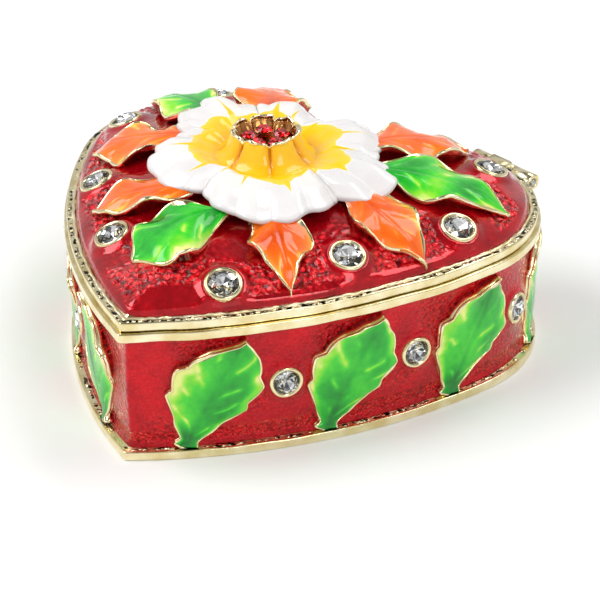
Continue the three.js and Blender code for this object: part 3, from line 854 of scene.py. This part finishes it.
def leaf_plan(length, halves, cut, phases):
    """Places across and along a leaf, and its half width at each."""
    stem = 0.13 + 0.15 * np.exp(-t / 0.05)
    share = arch(t**cut.peak) ** 0.95
    share = share * (1 - 0.6 * soft(0.88, 1.0, t)) * (1 - cut.drawn * soft(0.55, 0.85, t))
    share = np.maximum(share, stem * (1 - t) ** 0.6)
    half = np.zeros((LEAF_ROWS, LEAF_COLUMNS))
    for side, sign in enumerate((-1, 1)):
        notch = cut.bite * (1 - saw(cut.teeth * t + phases[side], cut.fall))
        notch = notch * soft(0.08, 0.25, t) * soft(1.0, 0.85, t)
        half += np.where(sign * u > 0, halves[side] * share * (1 - notch), 0)
    half[:, LEAF_COLUMNS // 2] = half[:, LEAF_COLUMNS // 2 + 1]
    across = u * half + cut.bend * arch(t)
    ahead = (0.04 * np.abs(u) ** 1.6 + cut.shear * u) * arch(t) ** 0.8
    return across, length * (t + ahead), half


def leaf_tone(across, along, seed):
    """Darker at the stem, with painted shade in the fold, paler at the margin and in strokes along
    the veins.
    """
    grid = np.stack([across, along, np.zeros_like(across)], -1)
    drift = ripple(grid, 4.5, seed) * 0.1
    strokes = vein * soft(-0.2, 0.7, ripple(grid, 3.4, seed + 1))
    margin = soft(0.62, 1.0, np.abs(u)) * (0.75 + 0.35 * ripple(grid, 4.0, seed + 2))
    tone = 0.28 + drift + 0.16 * np.abs(u) - 0.08 * u + 0.36 * np.clip(margin, 0, 1.0)
    # The fold term is painted shade in the crease.
    return tone + 0.5 * strokes - 0.2 * soft(0.25, 0.0, t) - 0.06 * fold


def leaf_rim(name, at, lifts, foot_in, surface, body, seed):
    """The gold rim: it swells and laps over the enamel in places, and its foot is buried."""
    away = outward(at)
    away[~np.isfinite(away)] = 0
    away = (away + np.roll(away, 1, 0) + np.roll(away, -1, 0)) / 3
    flat = level(at, 0)
    swell = 1.2 + 0.5 * ripple(flat, 2.2, seed + 3)
    bare = 1 + 3.0 * soft(0.5, 1.4, ripple(flat, 3.2, seed + 4))
    loops = []
    for out, up in RIM:
        shift = away * (out * (swell if out > 0 else bare))[:, None]
        loops.append(surface(*(at + shift).T, lifts + up))
    low = np.minimum(lifts - 0.35, LEAF_FOOT)
    foot = foot_in[:, None]
    for out, height in [(0.02, lifts - 0.5), (-foot, low), (-foot - 0.1, lifts - 0.3)]:
        loops.append(surface(*(at + away * out).T, height))
    make(name, loft(loops), GOLD, body)


def leaf(node, length, halves, cut, surface, lift, colour, body, seed):
    """An enamelled leaf and its gold rim. halves are the half widths on the two sides, surface
    turns (across, along, lift) into points, and lift is the height of its top."""
    phases = np.random.default_rng(seed).uniform(0.1, 0.5, 2)
    across, along, half = leaf_plan(length, halves, cut, phases)
    top = lift - 0.1 * fold - 0.09 * vein
    sheets = [surface(across, along, height).reshape(-1, 3) for height in (top, top - LEAF_T)]
    faces = band(LEAF_ROWS, LEAF_COLUMNS, wrap_columns=False)
    faces += band(LEAF_ROWS, LEAF_COLUMNS, LEAF_ROWS * LEAF_COLUMNS, wrap_columns=False)
    fields = {"tone": np.tile(leaf_tone(across, along, seed).ravel(), 2)}
    name = f"{node}_enamel"
    shell = np.concatenate(sheets), faces + leaf_walls
    make(name, shell, PAINTS[colour], body, [node], fields)
    rows, columns = np.array(leaf_edge).T
    at = np.c_[across[rows, columns], along[rows, columns]]
    foot_in = np.minimum(cut.undercut, 0.6 * half[rows, columns])
    leaf_rim(f"{name}_rim", at, top[rows, columns], foot_in, surface, body, seed)


def side_leaf(s, number):
    """A leaf on the wall, s along the outline from the tip, that leans away from the tip."""
    side = math.copysign(1, s)
    low, high = FLANGE_H + 0.1, BASE_H - FLANGE_H - 1.1
    sine, cosine = math.sin(SIDE_LEAF_LEAN), math.cos(SIDE_LEAF_LEAN)
    stem = s - side * math.tan(SIDE_LEAF_LEAN) * (high - low) / 2

    def surface(across, along, lift):
        z = low + along * cosine - side * across * sine
        place = stem + side * along * sine + across * cosine
        return wall(place, lift, np.clip(z, low + 0.15, high + 0.6))

    lift = 0.42 + 0.2 * np.sin(11 * t + 2 * np.sign(u)) * np.abs(u) ** 3
    lift = lift + 0.8 * soft(0.2, 1.0, -side * u) * soft(0.3, 0.65, t)
    lift = lift + 0.5 * (1 - u * u) * arch(t) ** 0.7 + 0.5 * soft(0.1, 0.0, t)
    cut = Cut(4.3, 0.25, 0.14, 1.06, 0.0, bend=-0.4 * side, shear=0.06 * side, undercut=-0.3)
    node = f"side_leaf_{'right' if s > 0 else 'left'}_{number}"
    halves = (SIDE_LEAF_W / 2, SIDE_LEAF_W / 2)
    seed = 100 + 10 * number + int(side)
    leaf(node, (high - low) / cosine, halves, cut, surface, lift, "green", "base", seed)


def lid_leaf(name, index):
    it = LidLeaf(*LID_LEAVES[name])
    root_angle, tip_angle = math.radians(it.root_bearing), math.radians(it.tip_bearing)
    root = CENTRE + it.root_r * compass(root_angle)
    end = CENTRE + it.share * reach(tip_angle) * compass(tip_angle)
    length = np.hypot(*(end - root))
    way = (end - root) / length
    right = np.array([way[1], -way[0]])
    phase = 1.7 * index

    def surface(across, along, lift):
        x = root[0] + way[0] * along + right[0] * across
        y = root[1] + way[1] * along + right[1] * across
        return np.stack([x, y, dome_z(x, y) + lift], -1)

    wave = 0.85 * np.sin(12 * t + phase + 1.3 * np.sign(u)) * np.abs(u) ** 2
    crown = (wave + 0.6 * (1 - u * u)) * arch(np.clip(t, 0.1, 0.9))
    lift = 1.3 + it.raised + crown - 0.9 * soft(0.8, 1.0, t)
    drawn = 0.4 if it.peak < 1.05 else 0.0
    bend = 0.8 * math.sin(phase)
    cut = Cut(2.6, 0.45, 0.2, it.peak, drawn, bend, shear=0.0, undercut=0.8)
    halves = (it.anticlockwise, it.clockwise)
    node, colour = f"lid_leaf_{name}", name.split("_")[-1]
    leaf(node, length, halves, cut, surface, lift, colour, "lid", 200 + 7 * index)


# ---- Flower.

PETAL_TURNS = 720
PETAL_ROWS = 64
PETAL_T = 0.9
CUP_TURNS = 336

# The cup's outside, as (share of its height, radius, how strongly it is fluted).
CUP_PROFILE = [
    (0.0, CUP_BASE_R + 0.5, 0.0), (0.05, CUP_BASE_R, 0.3), (0.2, CUP_BASE_R - 0.75, 0.6),
    (0.4, CUP_BASE_R - 1.25, 0.9), (0.6, CUP_BASE_R - 1.55, 1.0), (0.8, CUP_RIM_R + 0.12, 1.0),
    (0.93, CUP_RIM_R + 0.02, 1.0), (0.99, CUP_RIM_R - 0.12, 1.0), (1.0, CUP_RIM_R - 0.3, 1.0),
]


def petal_radius(bearing):
    """The petals' radius at the bearings, the share of the petal passed, and its number."""
    starts, notches, peaks = np.array(PETALS).T
    starts = np.radians(starts)
    wrapped = (bearing - starts[0]) % (2 * np.pi) + starts[0]
    index = np.searchsorted(starts, wrapped, side="right") - 1
    ends = np.r_[starts[1:], starts[0] + 2 * np.pi]
    part = (wrapped - starts[index]) / (ends - starts)[index]
    low = notches[index] * (1 - part) + np.roll(notches, -1)[index] * part
    return low + (peaks[index] - low) * arch(part) ** 0.6, part, index


def petal_strokes(bearing):
    """How much further the yellow is drawn out, in pointed strokes all round."""
    rng = np.random.default_rng(49)
    places = (np.arange(STROKES) + rng.uniform(-0.3, 0.3, STROKES)) * 2 * np.pi / STROKES
    out = 0 * bearing
    for place in places:
        away = (bearing - place + np.pi) % (2 * np.pi) - np.pi
        width = rng.uniform(0.03, 0.06)
        spike = np.clip(1 - np.sqrt(np.abs(away) / width), 0, 1)
        out = np.maximum(out, rng.uniform(0.14, 0.5) * spike)
    return out


def petal_heights(x, y, q, around, puffs, part, index, furrow):
    """Heights of the petals' top: flat round the cup, then over the dome, furrowed and ruffled."""
    notch = arch(part) ** 0.35
    plump = 0.85 * arch(np.clip((q - 0.28) / 0.8, 0, 1)) * notch
    fall = 0.6 * soft(0.75, 1.0, q)
    z = dome_z(x, y) + 3.0 + 0.8 * plump - fall - 0.3 * np.abs(furrow) * soft(0.2, 0.7, q)
    z += (0.45 * (puffs - 0.6) + 0.12 * ripple(around * 6, 1.1, 44)) * soft(0.35, 0.95, q)
    z += 0.28 * np.sin(2 * np.pi * part * 2 + index) * soft(0.4, 0.9, q)
    z -= 0.5 * (1 - notch) * soft(0.2, 0.8, q)
    blend = soft(0.05, 0.45, q)
    return SEAT_Z * (1 - blend) + z * blend


def petal_tone(bearing, q, around, furrow):
    """Above 0.5 is yellow, deeper towards the cup, and below it white, with painted shade that
    greys the furrows and the rolled outer edge.
    """
    out = 0.42 + 0.07 * ripple(around * 5, 3.2, 47) + petal_strokes(bearing)
    tone = np.minimum(0.5 + 1.6 * (out - q), 0.7 + 0.3 * soft(0.3, 0.0, q))
    # Painted shade greys the white in the furrows.
    shaded_white = 0.3 + 0.1 * np.clip(furrow + 0.5, -1, 1) * soft(1.0, 0.6, q)
    tone = np.where(tone < 0.5, shaded_white, tone)
    return np.where(q > 0.97, np.minimum(tone, 0.2), tone)


def flower_petals():
    bearing = all_round(PETAL_TURNS)
    radius, part, index = petal_radius(bearing)
    around = level(compass(bearing), 0)
    puffs = np.abs(np.sin(PUFFS / 2 * bearing + 0.9 * ripple(around, 2.0, 41)))
    furrow = ripple(around * 6, 2.3, 43)
    radius = radius * (0.975 + 0.05 * puffs)
    seat_share = (CUP_BASE_R - 1.2) / radius
    q = np.linspace(0, 1, PETAL_ROWS)[:, None]
    r = radius * (seat_share + (1 - seat_share) * q)
    x = CENTRE[0] + r * np.cos(bearing)
    y = CENTRE[1] + r * np.sin(bearing)
    top = petal_heights(x, y, q, around, puffs, part, index, furrow)
    upper = np.stack([x, y, top], -1)
    rest = []
    for out, drop in [(0.16, 0.14), (0.2, 0.38), (0.1, 0.6), (-0.2, 0.72)]:
        rest.append(upper[-1] + level(out * compass(bearing), -drop))
    for share in (0.85, 0.6, 0.4):
        rest.append(upper[int(share * (PETAL_ROWS - 1))] - [0, 0, PETAL_T])
    rest.append(level(upper[0, :, :2], SEAT_Z - 1.1))
    tone = petal_tone(bearing, q, around, furrow)
    # The underside is painted grey as shade.
    fields = {"tone": np.r_[tone.ravel(), np.full(len(rest) * PETAL_TURNS, 0.1)]}
    shell, paint = loft(np.concatenate([upper, rest])), PAINTS["petal"]
    make("petals_enamel", shell, paint, "lid", ["flower_petals"], fields)


def flower_cup():
    bearing = all_round(CUP_TURNS)
    part = ((bearing - GAP_BEARING) / (2 * np.pi) * CUP_FLUTES) % 1
    flute = arch(part) ** 0.5
    split = bell(np.minimum(part, 1 - part), 0.06)
    around = level(compass(bearing), 0)
    scallop = 0.42 * (flute - 0.7) + 0.1 * ripple(around * 5, 1.8, 61) - 0.35 * split
    height = CUP_TOP - SEAT_Z
    loops, tones = [], []
    for share, r, fluted in CUP_PROFILE:
        radius = r + fluted * (0.5 * (flute - 0.7) - 0.2 * split)
        z = SEAT_Z - 0.05 + share * height + scallop * soft(0.4, 1.0, share)
        loops.append(level(radius[:, None] * compass(bearing) + CENTRE, z))
        # Painted highlight along each flute's crest and painted shade in the splits, and darker
        # towards the foot.
        tones.append(0.42 + 0.45 * flute - 0.35 * split * fluted - 0.12 * (1 - share))
    rim = loops[-1]
    loops.append(level(rim[:, :2], SEAT_Z))
    tones.append(0 * bearing + 0.4)
    fields = {"tone": np.concatenate(tones)}
    paint = PAINTS["cup"]
    make("cup_enamel", loft(loops), paint, "lid", ["flower_cup"], fields)
    cup_rim(rim, around)
    cup_lining(rim, around, part)


def cup_rim(rim, around):
    """The bare gold edge of the cup, unevenly thick."""
    thick = 0.2 * (1 + 0.3 * ripple(around * 6, 1.7, 63))
    loops = []
    for angle in all_round(10):
        side = around * (0.05 + thick * 1.25 * math.cos(angle))[:, None]
        side[:, 2] = thick * math.sin(angle) + 0.05
        loops.append(rim + side)
    make("cup_rim", loft(loops), GOLD, "lid")


def cup_lining(rim, around, part):
    """The scalloped bowl inside the cup, down to the floor that carries the stones."""
    scoop = np.abs(arch(part * 2))
    floor_z = box_mm("flower_stone_1")[0][2] + HEART_LIFT
    foot_z = floor_z - 0.6
    middle = np.r_[CENTRE, 0]
    loops = []
    for share, depth in [(0.97, 0.0), (0.92, 0.25), (0.86, 0.55), (0.8, 0.85), (0.7, 1.0)]:
        loop = (rim - middle) * [share, share, 1] + middle
        loop[:, 2] = rim[:, 2] * (1 - depth) + floor_z * depth
        ridge = 0.22 * scoop * math.sin(math.pi * min(depth + 0.12, 1))
        loops.append(loop + ridge[:, None] * around)
    loops.insert(0, level(loops[0][:, :2], foot_z))
    shell = loft(loops, [[*CENTRE, foot_z], [*CENTRE, floor_z]])
    make("cup_lining", shell, BROWN_GOLD, "lid")


# ---- Stones.


def brilliant_faces():
    """Facets over and under the girdle. t, s, g, b and c are where the rings' points begin."""
    t, s, g, b, c = 0, 8, 16, 32, 40
    top, low = [[t + i for i in range(8)]], []
    for i in range(8):
        k = (i + 1) % 8
        here, half, then = g + 2 * i, g + 2 * i + 1, g + (2 * i + 2) % 16
        top.append([t + i, s + i, t + k])
        top.append([t + k, s + i, then, s + k])
        top.append([s + i, here, half])
        top.append([s + i, half, then])
        low.append([here, b + i, half])
        low.append([half, b + i, then])
        low.append([b + i, then, b + k])
        low.append([c, b + k, b + i])
    return top, low


def brilliant(node, r, matrix, looks, body, seed, depth=0.9):
    """A round brilliant: table, star and main facets above the girdle, mirror facets below."""
    height = CROWN * r
    eighths, sixteenths = all_round(8), all_round(16)
    half_turn = np.pi / 8
    table = level(0.54 * r * compass(eighths), height)
    star = level(0.78 * r * compass(eighths + half_turn), 0.58 * height)
    girdle = level(r * compass(sixteenths), 0)
    belt = level(0.55 * r * compass(eighths + half_turn), -0.5 * depth)
    points = np.vstack([table, star, girdle, belt, [[0, 0, -depth]]])
    top, low = brilliant_faces()
    crown, foil = looks
    name = f"{node}_gem"
    shell = moved(points, matrix), top + low
    stone = make(name, shell, crown, body, [node], smooth=False)
    stone.data.materials.append(foil)
    # The darker faces are painted dark reflections.
    shade = stone.data.attributes.new("shade", "FLOAT", "FACE")
    rng = np.random.default_rng(seed)
    shade.data.foreach_set("value", rng.choice([0.1, 0.6, 1.0, 1.0, 1.0], len(top + low)))
    stone.data.polygons.foreach_set("material_index", [0] * len(top) + [1] * len(low))


def set_stones():
    rng = np.random.default_rng(5)
    settings = [(name, spot, LID_STONE_R, "lid") for name, spot in zip(lid_stones, lid_spots)]
    settings += [(name, spot, SIDE_STONE_R, "base") for name, spot in zip(side_stones, side_spots)]
    for seed, (name, (at, normal), r, body) in enumerate(settings, 407):
        place = standing_on(at + STONE_PROUD * normal, normal, rng.uniform(0, 1))
        brilliant(name, r, place, CLEAR, body, seed)


def heart_stones():
    for number in range(1, 6):
        node = f"flower_stone_{number}"
        low, high = box_mm(node)
        x, y, _ = middle_mm(node)
        r = (high[0] - low[0]) / 2
        place = standing_on([x, y, high[2] - CROWN * r + HEART_LIFT], (0, 0, 1), 0.3 * number)
        brilliant(node, r, place, RED, "lid", 400 + number, 0.75)


# ---- Hinge and magnets.


def hinge_parts():
    joint = frame["joints"][0]
    at = np.array(joint["pos_m"]) / MM
    axis = np.array(joint["axis"], float)
    low, high = box_mm("hinge_pin")
    length = (high - low)[0] / abs(axis[0])
    knuckle = (length - 2 * PIN_OUT - 2 * KNUCKLE_GAP) / 3
    end, shoulder = length / 2, length / 2 - 0.15
    half = [(PIN_R, shoulder), (0.6 * PIN_R, end), (0, end)]
    pin = [(r, -z) for r, z in half[::-1]] + half
    shell = lathe(pin, 24, standing_on(at, axis))
    make("hinge_pin_rod", shell, STEEL, "base", ["hinge_pin"])
    pitch = knuckle + KNUCKLE_GAP
    base_tab, lid_tab = (BASE_H - FLANGE_H, BASE_H), (LID_LOW, RIM_Z)
    for body, places, tab in [("base", (-pitch, pitch), base_tab), ("lid", (0,), lid_tab)]:
        parts = []
        for place in places:
            parts.append(barrel(at + place * axis, axis, knuckle))
            parts.append(lug_tab(at, axis, place, knuckle, tab))
        make(f"hinge_lugs_{body}", gathered(parts), GOLD, body)


def barrel(at, axis, length):
    """A knuckle with a chamfer at each end, bored for the pin."""
    h, bore = length / 2, PIN_R + PIN_PLAY
    half = [(KNUCKLE_R, h - 0.12), (KNUCKLE_R - 0.15, h), (bore, h)]
    rows = [(r, -z) for r, z in half[::-1]] + half
    circle = compass(all_round(40))
    points, faces = loft([level(r * circle, z) for r, z in rows])
    return moved(points, standing_on(at, axis)), faces


def lug_tab(at, axis, place, length, heights):
    """The tongue from a barrel to its flange, with a chamfered top and bottom."""
    inward = np.array([-axis[1], axis[0], 0])
    inward = -np.sign(inward @ at) * inward
    h = length / 2
    low, high = heights
    section = [(low, EDGE), (low + EDGE, 0), (high - EDGE, 0), (high, EDGE)]
    loops = []
    for depth in (KNUCKLE_R * 0.35, KNUCKLE_R * 0.9, 2.0, 3.1):
        loop = []
        for side, half in ((-1, section), (1, section[::-1])):
            for z, bevel in half:
                p = at + axis * (place + side * (h - bevel)) + inward * depth
                loop.append([p[0], p[1], z])
        loops.append(loop)
    return loft(loops, [np.mean(loops[0], 0), np.mean(loops[-1], 0)])


def magnets():
    spans = {
        "base": (box_mm("base_magnet")[0][2], BASE_H + MAGNET_PROUD),
        "lid": (LID_LOW - MAGNET_PROUD, box_mm("lid_magnet")[1][2]),
    }
    for body, (bottom, top) in spans.items():
        node = f"{body}_magnet"
        low, high = box_mm(node)
        r, thick, c = (high[0] - low[0]) / 2, top - bottom, MAGNET_CHAMFER
        profile = [(0, 0), (r - c, 0), (r, c), (r, thick - c), (r - c, thick), (0, thick)]
        x, y, _ = middle_mm(node)
        shell = lathe(profile, 40, standing_on([x, y, bottom], (0, 0, 1)))
        make(f"{node}_disc", shell, STEEL, body, [node])


# ---- Studio, in metres.

FLOOR_HALF = 3.0
CAMERA_TARGET = Vector((6.85, -5.37, 9.26)) * MM
CAMERA_FAR = 0.2958


def direction(azimuth, elevation):
    """The way from the object, in degrees. Azimuth 0 is in front, on the -Y side."""
    a, e = math.radians(azimuth), math.radians(elevation)
    return Vector((math.sin(a) * math.cos(e), -math.cos(a) * math.cos(e), math.sin(e)))


def softbox(name, azimuth, elevation, distance, size, power):
    """An area light aimed at the object's middle."""
    way = direction(azimuth, elevation)
    light = bpy.data.lights.new(name, "AREA")
    light.shape = "RECTANGLE"
    light.size, light.size_y = size
    light.energy = power
    lamp = added(name, light)
    lamp.location = way * distance
    lamp.rotation_euler = way.to_track_quat("Z", "Y").to_euler()


def studio():
    """Three soft boxes, and a sky that darkens towards the top so that metal has contrast."""
    softbox("key", -60, 52, 0.6, (0.42, 0.3), 2.2)
    softbox("back", 150, 60, 0.7, (0.5, 0.25), 1.6)
    softbox("front", 60, 40, 0.7, (0.22, 0.3), 1.0)
    world = bpy.data.worlds.new("studio")
    bpy.context.scene.world = world
    world.use_nodes = True
    tree = world.node_tree
    shade = tree.nodes["Background"]
    kinds = ("TexCoord", "SeparateXYZ", "ValToRGB")
    place, split, ramp = [tree.nodes.new(f"ShaderNode{kind}") for kind in kinds]
    tree.links.new(place.outputs["Generated"], split.inputs[0])
    tree.links.new(split.outputs["Z"], ramp.inputs["Fac"])
    tree.links.new(ramp.outputs["Color"], shade.inputs["Color"])
    levels = [(0.0, 1.0), (0.45, 1.0), (0.7, 0.75), (0.86, 0.12), (1.0, 0.3)]
    fill_ramp(ramp, [(at, (grey, grey, grey, 1)) for at, grey in levels])
    shade.inputs["Strength"].default_value = 0.62


def floor():
    look = Look("floor_paper", Specular_IOR_Level=0.1)
    greys = [(0.3, (0.93, 0.93, 0.93, 1)), (0.7, (0.95, 0.95, 0.95, 1))]
    look.colour(look.ramp(look.noise(60, 2), greys))
    look.roughness(look.drift(5, 2, 0.7, 0.9))
    mesh = bpy.data.meshes.new("floor")
    corners = [(-1, -1), (1, -1), (1, 1), (-1, 1)]
    mesh.from_pydata([(FLOOR_HALF * x, FLOOR_HALF * y, 0) for x, y in corners], [], [[0, 1, 2, 3]])
    mesh.materials.append(look.material)
    sheet = added("floor", mesh)


def camera():
    """The photograph's view: 30 degrees down, from the right of the tip, with a long lens."""
    back = direction(30.7, 30.0)
    lens = bpy.data.cameras.new("camera")
    lens.lens, lens.sensor_width = 138, 36
    lens.clip_start = 0.01
    eye = added("camera", lens)
    turned = back.to_track_quat("Z", "Y").to_matrix().to_4x4()
    roll = Matrix.Rotation(math.radians(-0.5), 4, "Z")
    eye.matrix_world = Matrix.Translation(CAMERA_TARGET + back * CAMERA_FAR) @ turned @ roll
    bpy.context.scene.camera = eye
    bpy.context.scene.view_settings.view_transform = "Standard"


camera()
studio()
floor()
base_casting()
lid_casting()
trim_line("lid_bead_line", "lid", DOME_IN, RIM_Z, 11, BEAD, SATIN)
# The trenches carry painted shade in their near-black patches.
trim_line("lid_hammered_shaded_line", "lid", DOME_IN, RIM_Z, 12, TRENCH, HAMMERED_SHADED_GOLD)
trim_line("base_hammered_shaded_line", "base", WALL_IN + 0.25, FLANGE_H, 21, TRENCH, HAMMERED_SHADED_GOLD)
wall_enamel()
lid_enamel()
bezels("side_bezels", side_spots, SIDE_STONE_R, "base")
bezels("lid_bezels", lid_spots, LID_STONE_R, "lid")
for side in (1, -1):
    for i in range(SIDE_LEAVES):
        side_leaf(side * (SIDE_START + i * SIDE_PITCH), i + 1)
for index, name in enumerate(LID_LEAVES):
    lid_leaf(name, index)
flower_petals()
flower_cup()
set_stones()
heart_stones()
hinge_parts()
magnets()
